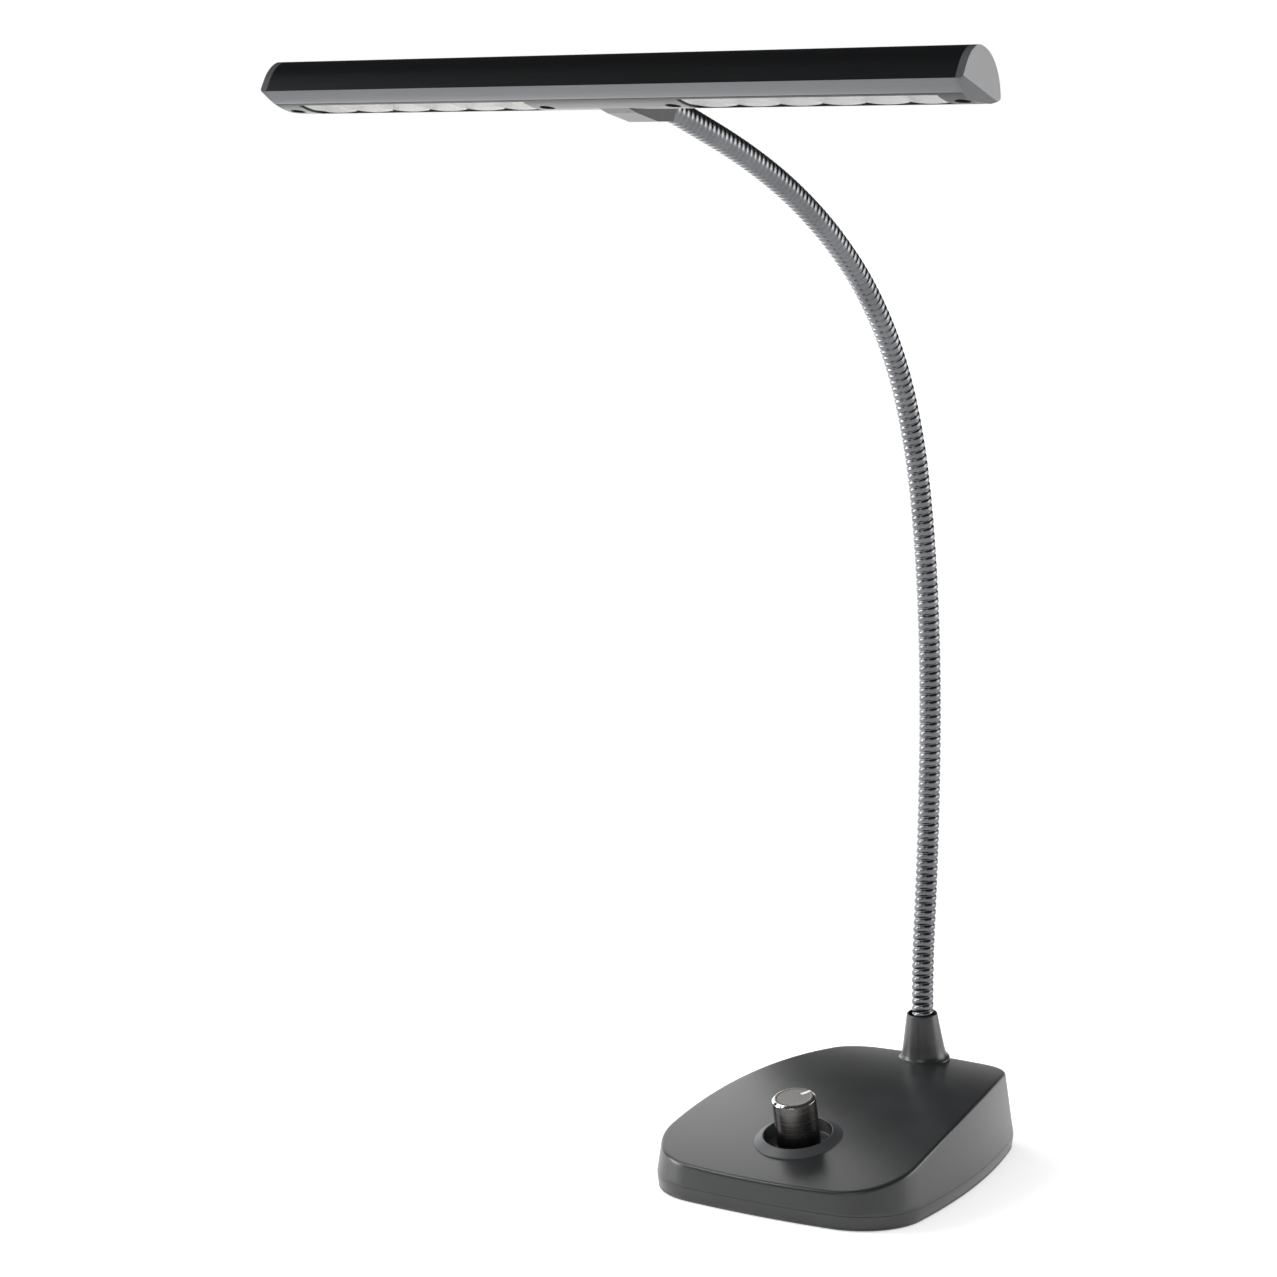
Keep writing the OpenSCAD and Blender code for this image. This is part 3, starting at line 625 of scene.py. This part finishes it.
@dataclass
class BaseShell:
    """The moulded cover and the tray under it, with softened edges.

    Args:
        top_z: height of the top's highest line.
        top_y: y of that line.
        top_r: radius of the curved top.
        lean: how far the walls lean in for each unit of height.
        part_z: height of the parting line.
        edge: how far the top's rolled edge reaches from the sharp line.
        thick: wall.
        well: x and y of the knob's well, and its radius.
        inlet_z: height of the inlet over the floor.
        inlet: radius of each step of the inlet's hole, and the y at which it begins.
        ledge: the wall's foot, as inset and height over the parting line.
        lip: the tray's wall, as inset and height over the floor in mm.
    """

    plan: Plan = field(default_factory=Plan)
    top_z: float = 35.5 * MM
    top_y: float = 42.45 * MM
    top_r: float = 390 * MM
    lean: float = 0.144
    part_z: float = 6.6 * MM
    edge: float = 1.25 * MM
    thick: float = 2.2 * MM
    well: Point = (0.0, -45.55 * MM, 16.9 * MM)
    inlet_z: float = 13.5 * MM
    inlet: Tuple[Tuple[float, float], ...] = ((6.0 * MM, 79.6 * MM), (4.05 * MM, 70.0 * MM))
    ledge: Tuple[Tuple[float, float], ...] = (
        (2.0 * MM, 0.0), (0.5 * MM, 0.0), (0.12 * MM, 0.1 * MM), (0.0, 0.45 * MM),
    )
    lip: Tuple[Tuple[float, float], ...] = (
        (1.2, 6.6), (0.4, 6.6), (0.2, 6.5), (0.15, 6.25), (0.32, 4.6), (0.5, 3.0), (0.8, 1.7),
        (0.84, 1.45), (0.72, 1.3), (0.74, 1.0), (0.98, 0.5), (1.3, 0.29), (1.9, 0.27), (4.2, 0.27),
    )

    def top(self, y: np.ndarray) -> np.ndarray:
        """Returns the top's height over the floor at y."""
        return self.top_z - self.top_r + np.sqrt(self.top_r ** 2 - (y - self.top_y) ** 2)

    def wall(self, z: np.ndarray) -> np.ndarray:
        """Returns the outline's points moved in to where the wall is at z, one z for each."""
        points, out = self.plan.ring()
        inset = self.lean * (z - self.part_z) + 0.03 * MM
        return points - out * inset[:, None]

    def crest(self) -> np.ndarray:
        """Returns the sharp line where wall and top would meet, as points."""
        points, _ = self.plan.ring()
        z = np.full(len(points), self.top_z)
        for _ in range(12):
            z = self.top(self.wall(z)[:, 1])
        return np.column_stack([self.wall(z), z])

    def cover(self) -> List[Sheet]:
        """Makes the cover: ledge, wall, rolled edge and top, then back along the inside.

        The edge is the curve (1-t)^2 A + 2 t (1-t) C + t^2 B, where C is the sharp corner, A is a
        point of the wall below it and B a point of the top inside it. The top runs from B to the
        knob's well in straight plan lines and keeps to the curved top's height. The inside is the
        same top and wall, one thickness further in, and the last row joins the first.

        Returns:
            The surfaces.
        """
        crest = self.crest()
        _, out = self.plan.ring()
        rows = []

        def add_wall(height: np.ndarray, inset: float = 0.0) -> None:
            """Adds a row along the wall, inset from it."""
            rows.append(np.column_stack([self.wall(height) - out * inset, height]))

        def add_top(flat: np.ndarray, drop: float = 0.0) -> None:
            """Adds a row along the top, drop below it."""
            rows.append(np.column_stack([flat, self.top(flat[:, 1]) - drop]))

        for inset, z in self.ledge:
            add_wall(np.full(len(out), self.part_z + z), inset)
        foot, low = rows[-1][:, 2], crest[:, 2] - self.edge
        for t in np.linspace(0.1, 1.0, 9):
            add_wall(foot * (1 - t) + low * t)
        a = rows[-1]
        inner = crest[:, :2] - out * self.edge
        b = np.column_stack([inner, self.top(inner[:, 1])])
        for t in np.linspace(0.125, 1.0, 8):
            rows.append((1 - t) ** 2 * a + 2 * t * (1 - t) * crest + t * t * b)
        centre = np.array(self.well[:2])
        ray = inner - centre
        length = np.linalg.norm(ray, axis=1, keepdims=True)
        hole = centre + ray / length * self.well[2]
        for t in np.linspace(0, 1, 30)[1:]:
            add_top(inner * (1 - t) + hole * t)
        for t in np.linspace(1, 0, 6):
            add_top((inner - out * self.thick) * (1 - t) + hole * t, self.thick)
        for t in (0.6, 0.2, 0.03):
            add_wall(foot * (1 - t) + low * t, self.thick)
        return [Sheet(np.stack(rows), loop=True, ring=True)]

    def tray(self) -> List[Sheet]:
        """Returns the lower tray's wall with a rounded lip at the bottom."""
        points, out = self.plan.ring()
        inset, z = (np.array(self.lip) * MM).T
        flat = points - out * inset[:, None, None]
        height = np.broadcast_to(z[:, None, None], (*flat.shape[:2], 1))
        return [Sheet(np.concatenate([flat, height], -1), loop=True)]

    def build(self, wardrobe: Wardrobe) -> None:
        """Makes the cover, with the inlet's recess and hole, and the tray's wall."""
        cover = mesh_object("base_shell", self.cover(), 35)
        for radius, start in self.inlet:
            solid = np.array([(0.001 * MM, 0), (radius, 0), (radius, BORE), (0.001 * MM, BORE)])
            bore = Axis(start, self.inlet_z, -90).turned(solid, 64)
            bore.ring = True
            cut(cover, mesh_object("cutter", [bore]), 35)
        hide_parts("base_cover")
        tray = mesh_object("tray_wall", self.tray(), 35)
        for piece in (cover, tray):
            wardrobe.finish(piece, "satin_black")
            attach(piece, "base")


# --------------------------------------------------------------------------------------------
# Turned pieces


@dataclass(frozen=True)
class TurnedPiece:
    """A round piece that stands for a node.

    Args:
        name: the piece's name.
        node: the node that it replaces.
        body: the body that it rides on.
        slot: its finish.
        axis: what it is turned about.
        corners: its profile, as radius, height and rounding in mm.
    """

    name: str
    node: str
    body: str
    slot: str
    axis: Axis
    corners: Tuple[Tuple[float, float, float], ...]

    def build(self, wardrobe: Wardrobe) -> None:
        """Makes the piece."""
        piece = mesh_object(self.name, [self.axis.turned(rounded(self.corners))], 35)
        wardrobe.finish(piece, self.slot)
        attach(piece, self.body)
        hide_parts(self.node)


ROOT = Axis(68.32 * MM, 35 * MM, 6.5)
KNOB = Axis(-45.55 * MM, 25.442 * MM, 13.04)
BOOT = TurnedPiece("boot", "neck_boot", "base", "satin_black", ROOT, (
    (8.4, -1.6, 0), (11.75, -1.6, 0), (11.75, 0.2, 0.3), (11.2, 0.75, 0.3), (10.2, 1.9, 1.2),
    (9.55, 4.5, 2.4), (6.9, 21.4, 0.5), (5.95, 21.5, 0.3), (5.9, 17, 0),
))
COLLAR = TurnedPiece("dimmer_collar", "knob_collar", "base", "collar_black", KNOB, (
    (16.8, -1.1, 0), (19.15, -1.1, 0), (19.15, 0.12, 0.25), (15.5, 2.45, 0.5), (14.75, 2.45, 0.4),
    (14.7, -4, 0.6), (4.56, -4, 0),
))
KNOB_BODY = TurnedPiece("knob", "dimmer_knob", "dimmer", "knob_metal", KNOB, (
    (6.7, -1.0, 0), (6.7, -2.85, 0.2), (9.38, -2.85, 0.35), (9.38, 18.35, 0.12),
    (8.35, 19.28, 0.12), (7.5, 19.28, 0.1), (7.3, 19.2, 0.1), (0.01, 19.2, 0),
))

# --------------------------------------------------------------------------------------------
# Reflectors


@dataclass
class ReflectorRow:
    """The white dishes behind one light window, one for each light source.

    A point of a dish is given by t, from 0 at the mouth to 1 at the light source, and by the
    angle a around it. The mouth is the closed curve |x/A|^8 + |u/B|^8 = 1, the inner end is a
    circle, and the height over the mouth is (1 - (1 - t)^2.5) of the whole depth, as in a bowl.
    Here u runs back from the head's nose and h up from it, in the head's own tilt.

    Args:
        side: the window.
        nose: y and z of the head's nose line.
        tilt: the head's tilt, in degrees.
        middle: distance of the window's middle from the head's middle.
        length: the window's length.
        centre_u: u of the window's middle.
        half_u: half of the window's width.
        cells: number of dishes.
        inner_r: radius of a dish's inner end.
        inner_h: height of a dish's inner end.
        proud: height of a mouth over the underside.
        scallop: how much a mouth rises towards its neighbours.
    """

    side: Side
    nose: Tuple[float, float] = (-206.35 * MM, 464.4 * MM)
    tilt: float = 17.8
    middle: float = 87.5 * MM
    length: float = 106.6 * MM
    centre_u: float = 16.4 * MM
    half_u: float = 7.65 * MM
    cells: int = 6
    inner_r: float = 2.5 * MM
    inner_h: float = 3.95 * MM
    proud: float = 0.25 * MM
    scallop: float = 0.75 * MM

    def belly(self, u: np.ndarray) -> np.ndarray:
        """Returns the height of the head's underside at u, on straight lines between points."""
        known_u = np.array([7, 9, 11.5, 15, 18, 22.4, 25.4]) * MM
        known_h = np.array([-2.9, -3.12, -3.2, -2.98, -2.6, -1.5, -0.7]) * MM
        return np.interp(u, known_u, known_h)

    def dish(self, centre: float) -> Sheet:
        """Returns the dish whose middle is at x = centre."""
        half_x = self.length / self.cells / 2
        a = np.linspace(0, 2 * math.pi, 72, endpoint=False)[None, :]
        t = np.linspace(0, 1, 14)[:, None]
        reach = (np.abs(np.cos(a)) ** 8 + np.abs(np.sin(a)) ** 8) ** (-1 / 8)
        mouth_x, mouth_u = half_x * reach * np.cos(a), self.half_u * reach * np.sin(a)
        rise = self.proud + self.scallop * (mouth_x / half_x) ** 2
        mouth_h = self.belly(self.centre_u + mouth_u) + rise
        x = mouth_x * (1 - t) + self.inner_r * np.cos(a) * t
        u = self.centre_u + mouth_u * (1 - t) + self.inner_r * np.sin(a) * t
        h = mouth_h + (self.inner_h - mouth_h) * (1 - (1 - t) ** 2.5)
        lean = math.radians(self.tilt)
        y = self.nose[0] + u * math.cos(lean) + h * math.sin(lean)
        z = self.nose[1] - u * math.sin(lean) + h * math.cos(lean)
        return Sheet(np.stack([centre + x, y, z], -1), loop=True)

    def build(self, wardrobe: Wardrobe) -> None:
        """Makes the row as one piece."""
        word = self.side.name.lower()
        step = self.length / self.cells
        first = self.side.value * self.middle - self.length / 2 + step / 2
        sheets = [self.dish(first + i * step) for i in range(self.cells)]
        piece = mesh_object(f"reflector_row_{word}", sheets, 50)
        wardrobe.finish(piece, "reflector_white")
        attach(piece, "head")
        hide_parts(f"reflector_{word}")


# --------------------------------------------------------------------------------------------
# Neck


@dataclass
class Neck:
    """The gooseneck: a wound steel tube that follows thirteen arcs in the plane x = 0.

    Args:
        root: y and z of the first arc's start.
        tilt: lean of the start from upright towards -Y, in degrees.
        lengths: length of each arc.
        bends: turn of each arc, in degrees.
        outer_r: radius over the ribs.
        groove: depth of the groove between ribs.
        pitch: length of one turn of the winding.
        lead_r: radius of the lead inside.
        around: points around the tube.
        per_turn: points along one turn of the winding.
        lead_grid: points along and around the lead in one piece.
        first: where the skin starts on the first arc, over the boot's flange.
        last: where the skin ends on the last arc, inside the ferrule.
        reach: a distance from a joint; the points it gives are not used.
    """

    root: Tuple[float, float] = (68.32 * MM, 35 * MM)
    tilt: float = 6.5
    lengths: Tuple[float, ...] = tuple(v * MM for v in (62, *[40.5] * 11, 37.5))
    bends: Tuple[float, ...] = (-11, 2.5, 2, 3.7, 4.5, 6, 12, 15, 12.8, 8.4, 6.8, 4.4, -0.5)
    outer_r: float = 4.98 * MM
    groove: float = 0.8 * MM
    pitch: float = 3.3 * MM
    lead_r: float = 1.5 * MM
    around: int = 36
    per_turn: int = 12
    lead_grid: Tuple[int, int] = (24, 16)
    first: float = 4.4 * MM
    last: float = 36.2 * MM
    reach: float = 17 * MM

    def start_s(self, k: int) -> float:
        """Returns the path length at which arc k starts."""
        return sum(self.lengths[:k])

    def path(self, s: np.ndarray) -> Tuple[np.ndarray, np.ndarray]:
        """Follows the arcs.

        Args:
            s: path lengths from the root.

        Returns:
            The points as rows of y and z, and the lean at each in radians.
        """
        y, z, lean = *self.root, math.radians(self.tilt)
        out = np.zeros((len(s), 2))
        angle = np.zeros(len(s))
        last = len(self.lengths) - 1
        for k, (length, bend) in enumerate(zip(self.lengths, self.bends)):
            radius = length / math.radians(bend)
            here = s - self.start_s(k)
            use = (here >= 0 if k else here > -1) & (here < length if k < last else here < 1)
            turn = lean + here[use] / radius
            out[use, 0] = y + radius * (np.cos(turn) - math.cos(lean))
            out[use, 1] = z + radius * (np.sin(turn) - math.sin(lean))
            angle[use] = turn
            end = lean + math.radians(bend)
            y += radius * (math.cos(end) - math.cos(lean))
            z += radius * (math.sin(end) - math.sin(lean))
            lean = end
        return out, angle

    def skin(self, s0: float, s1: float) -> Sheet:
        """Makes the wound tube between two path lengths.

        The radius is R - g * |2 t - 1| ** 3.2, where t is the fraction of a turn of the helix
        s / pitch - angle / 2 pi, so that each turn is a broad rounded rib with a narrow groove.

        Args:
            s0: path length of the start.
            s1: path length of the end.

        Returns:
            The surface.
        """
        count = max(2, int((s1 - s0) / self.pitch * self.per_turn))
        s = np.linspace(s0, s1, count)
        a = np.linspace(0, 2 * math.pi, self.around, endpoint=False)
        t = np.mod(s[:, None] / self.pitch - a[None, :] / (2 * math.pi), 1.0)
        r = self.outer_r - self.groove * np.abs(2 * t - 1) ** 3.2
        return self.tube(s, a, r)

    def tube(self, s: np.ndarray, a: np.ndarray, r: np.ndarray) -> Sheet:
        """Returns a tube around the path with radius r for each of s and a."""
        at, lean = self.path(s)
        out = r * np.sin(a)
        y = at[:, :1] + out * np.cos(lean)[:, None]
        z = at[:, 1:] + out * np.sin(lean)[:, None]
        return Sheet(np.stack([r * np.cos(a), y, z], -1), loop=True)

    def lead(self, s0: float, s1: float) -> Sheet:
        """Returns the lead inside the tube between two path lengths."""
        along, around = self.lead_grid
        a = np.linspace(0, 2 * math.pi, around, endpoint=False)
        return self.tube(np.linspace(s0, s1, along), a, np.full(self.lead_grid, self.lead_r))

    def point(self, s: float) -> Point:
        """Returns the path's point at s."""
        at, _ = self.path(np.array([s]))
        return (0.0, float(at[0, 0]), float(at[0, 1]))

    def build(self, wardrobe: Wardrobe) -> None:
        """Makes one skin for each joint, from mid arc to mid arc."""
        count = len(self.lengths) - 1
        bodies = ["base", *[f"neck_{k:02d}" for k in range(1, count)], "head"]
        middles = [self.start_s(k) + self.lengths[k] / 2 for k in range(1, count)]
        cuts = [self.first, *middles, self.start_s(count) + self.last]
        for k, (s0, s1) in enumerate(zip(cuts, cuts[1:])):
            sheets = [self.skin(s0, s1), self.lead(s0, s1)]
            piece = mesh_object(f"gooseneck_{k + 1:02d}", sheets, 180)
            wardrobe.finish(piece, "neck_black")
            joint = self.start_s(k + 1)
            below, above = self.point(joint - self.reach), self.point(joint + self.reach)
            bodies[k + 1]
            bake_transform(piece)
            nodes = [f"neck_section_{k:02d}"]
            if k == 0:
                nodes.append("neck_lead")
            if k == count - 1:
                nodes.append(f"neck_section_{count:02d}")
            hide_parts(*nodes)


# --------------------------------------------------------------------------------------------
# Studio


@dataclass(frozen=True)
class SoftBox:
    """A lamp with a flat bright face.

    Args:
        name: the light's name.
        place: its position.
        aim: the point that it faces.
        size: its width and height.
        power: watts.
    """

    name: str
    place: Point
    aim: Point
    size: Tuple[float, float]
    power: float

    def build(self) -> None:
        """Makes the light, which the camera itself doesn't see."""
        data = bpy.data.lights.new(self.name, "AREA")
        data.shape = "RECTANGLE"
        data.size, data.size_y = self.size
        data.energy = self.power
        obj = bpy.data.objects.new(self.name, data)
        obj.visible_camera = False
        turn = (Vector(self.aim) - Vector(self.place)).to_track_quat("-Z", "Y")
        obj.matrix_world = Matrix.Translation(self.place) @ turn.to_matrix().to_4x4()
        bpy.context.scene.collection.objects.link(obj)


SOFT_BOXES = (
    SoftBox("left_box", (-1.6, -0.7, 0.6), (0, 0, 0.25), (0.5, 1.2), 20),
    SoftBox("right_box", (1.3, 1.0, 0.4), (0, 0, 0.25), (1.1, 1.1), 13),
    SoftBox("high_strip", (-0.25, -0.19, 0.37), (0, -0.06, 0.03), (0.2, 0.12), 0.45),
    SoftBox("front_box", (0.3, -2.4, 1.5), (0, 0, 0.2), (1.2, 0.8), 9),
    SoftBox("rear_card", (-0.376, 0.15, 0.24), (-0.16, -0.17, 0.06), (0.4, 0.42), 1.1),
)


@dataclass
class Studio:
    """Camera, floor, world and lights.

    Args:
        focus: focal length in mm on a 36 mm sensor.
        azimuth: camera's turn to the right of the lamp's front, in degrees.
        pitch: camera's tilt below level, in degrees.
        place: the camera's position.
        horizon: share of the way up over which the world goes from white to dark.
        sky: the dark world that gloss sees above the horizon.
        fill: the world's colour as light on the object.
        floor_grey: the floor's own colour.
        near_glow: the floor's glow to the camera near the lamp.
        glow_reach: squared distances between which the glow rises to white.
    """

    focus: float = 93.44
    azimuth: float = 32.749
    pitch: float = 7.7593
    place: Point = (684.944 * MM, -1236.537 * MM, 427.203 * MM)
    horizon: Tuple[float, float] = (0.08, 0.24)
    sky: Colour = (0.03, 0.03, 0.032)
    fill: Colour = (0.42, 0.42, 0.43)
    floor_grey: float = 0.86
    near_glow: float = 0.5
    glow_reach: Tuple[float, float] = (0.5, 9.0)

    def camera(self) -> None:
        """Makes the camera and sets the view transform."""
        data = bpy.data.cameras.new("camera")
        data.lens = self.focus
        data.sensor_width = 36.0
        data.clip_start = 0.05
        obj = bpy.data.objects.new("camera", data)
        az, down = math.radians(self.azimuth), math.radians(self.pitch)
        level = math.cos(down)
        look = Vector((-math.sin(az) * level, math.cos(az) * level, -math.sin(down)))
        turn = look.to_track_quat("-Z", "Y")
        obj.matrix_world = Matrix.Translation(self.place) @ turn.to_matrix().to_4x4()
        bpy.context.scene.collection.objects.link(obj)
        bpy.context.scene.camera = obj
        bpy.context.scene.view_settings.view_transform = "Standard"

    def world(self) -> None:
        """Makes the world: seen straight or in gloss, white near the horizon and dark above."""
        world = bpy.data.worlds.new("studio")
        bpy.context.scene.world = world
        world.use_nodes = True
        graph = Graph(world.node_tree)
        _, _, height = graph.parts(graph.node("ShaderNodeTexCoord", out="Generated"))
        seen = graph.mix(height.smooth(*self.horizon), WHITE, self.sky)
        back = graph.tree.nodes["Background"]
        graph.link(graph.mix(graph.direct(), self.fill, seen), back, "Color")
        back.inputs["Strength"].default_value = 1.0

    def floor(self) -> None:
        """Makes the pale floor, white to the camera where no shadow falls."""
        r = np.array([0.0, 0.3, 1.0, 3.0, 9.0, 30.0])
        a = np.linspace(0, 2 * math.pi, 64, endpoint=False)
        x, y = r[:, None] * np.cos(a), r[:, None] * np.sin(a)
        obj = mesh_object("floor", [Sheet(np.stack([x, y, np.zeros_like(x)], -1), loop=True)])
        material = bpy.data.materials.new("floor")
        material.use_nodes = True
        graph = Graph(material.node_tree)
        shader = graph.tree.nodes["Principled BSDF"]
        shader.inputs["Base Color"].default_value = (*[self.floor_grey] * 3, 1.0)
        shader.inputs["Roughness"].default_value = 0.9
        shader.inputs["Specular IOR Level"].default_value = 0.0
        x, y, _ = graph.xyz()
        far = (x * x + y * y).smooth(*self.glow_reach)
        glow = graph.mix(far, (self.near_glow,) * 3, WHITE)
        graph.link(graph.mix(graph.direct(), BLACK, glow), shader, "Emission Color")
        shader.inputs["Emission Strength"].default_value = 1.0
        obj.data.materials.append(material)

    def build(self) -> None:
        """Makes all of it."""
        self.camera()
        self.world()
        self.floor()
        for box in SOFT_BOXES:
            box.build()


# --------------------------------------------------------------------------------------------
# Lamp


class Lamp:
    """The whole lamp: dresses the solids and builds the surfaces that stand for some of them."""

    def __init__(self, frame: dict) -> None:
        """Args:
        """
        self.frame = frame
        self.wardrobe = Wardrobe()

    def dress_solids(self) -> None:
        """Gives every solid the finish of its slot."""
        for part in self.frame["record"]["subparts"]:
            obj = bpy.data.objects[part["node"]]
            self.wardrobe.dress(obj, OWN_FINISH.get(part["node"], part["material_slot"]))

    def build(self) -> None:
        """Makes the lamp."""
        self.dress_solids()
        rows = (ReflectorRow(side) for side in Side)
        for piece in (BaseShell(), BOOT, COLLAR, KNOB_BODY, *rows, Neck()):
            piece.build(self.wardrobe)


def main() -> None:
    logging.basicConfig(level=logging.INFO, format="%(message)s")
    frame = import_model()
    Studio().build()
    Lamp(frame).build()


if __name__ == "__main__":
    main()
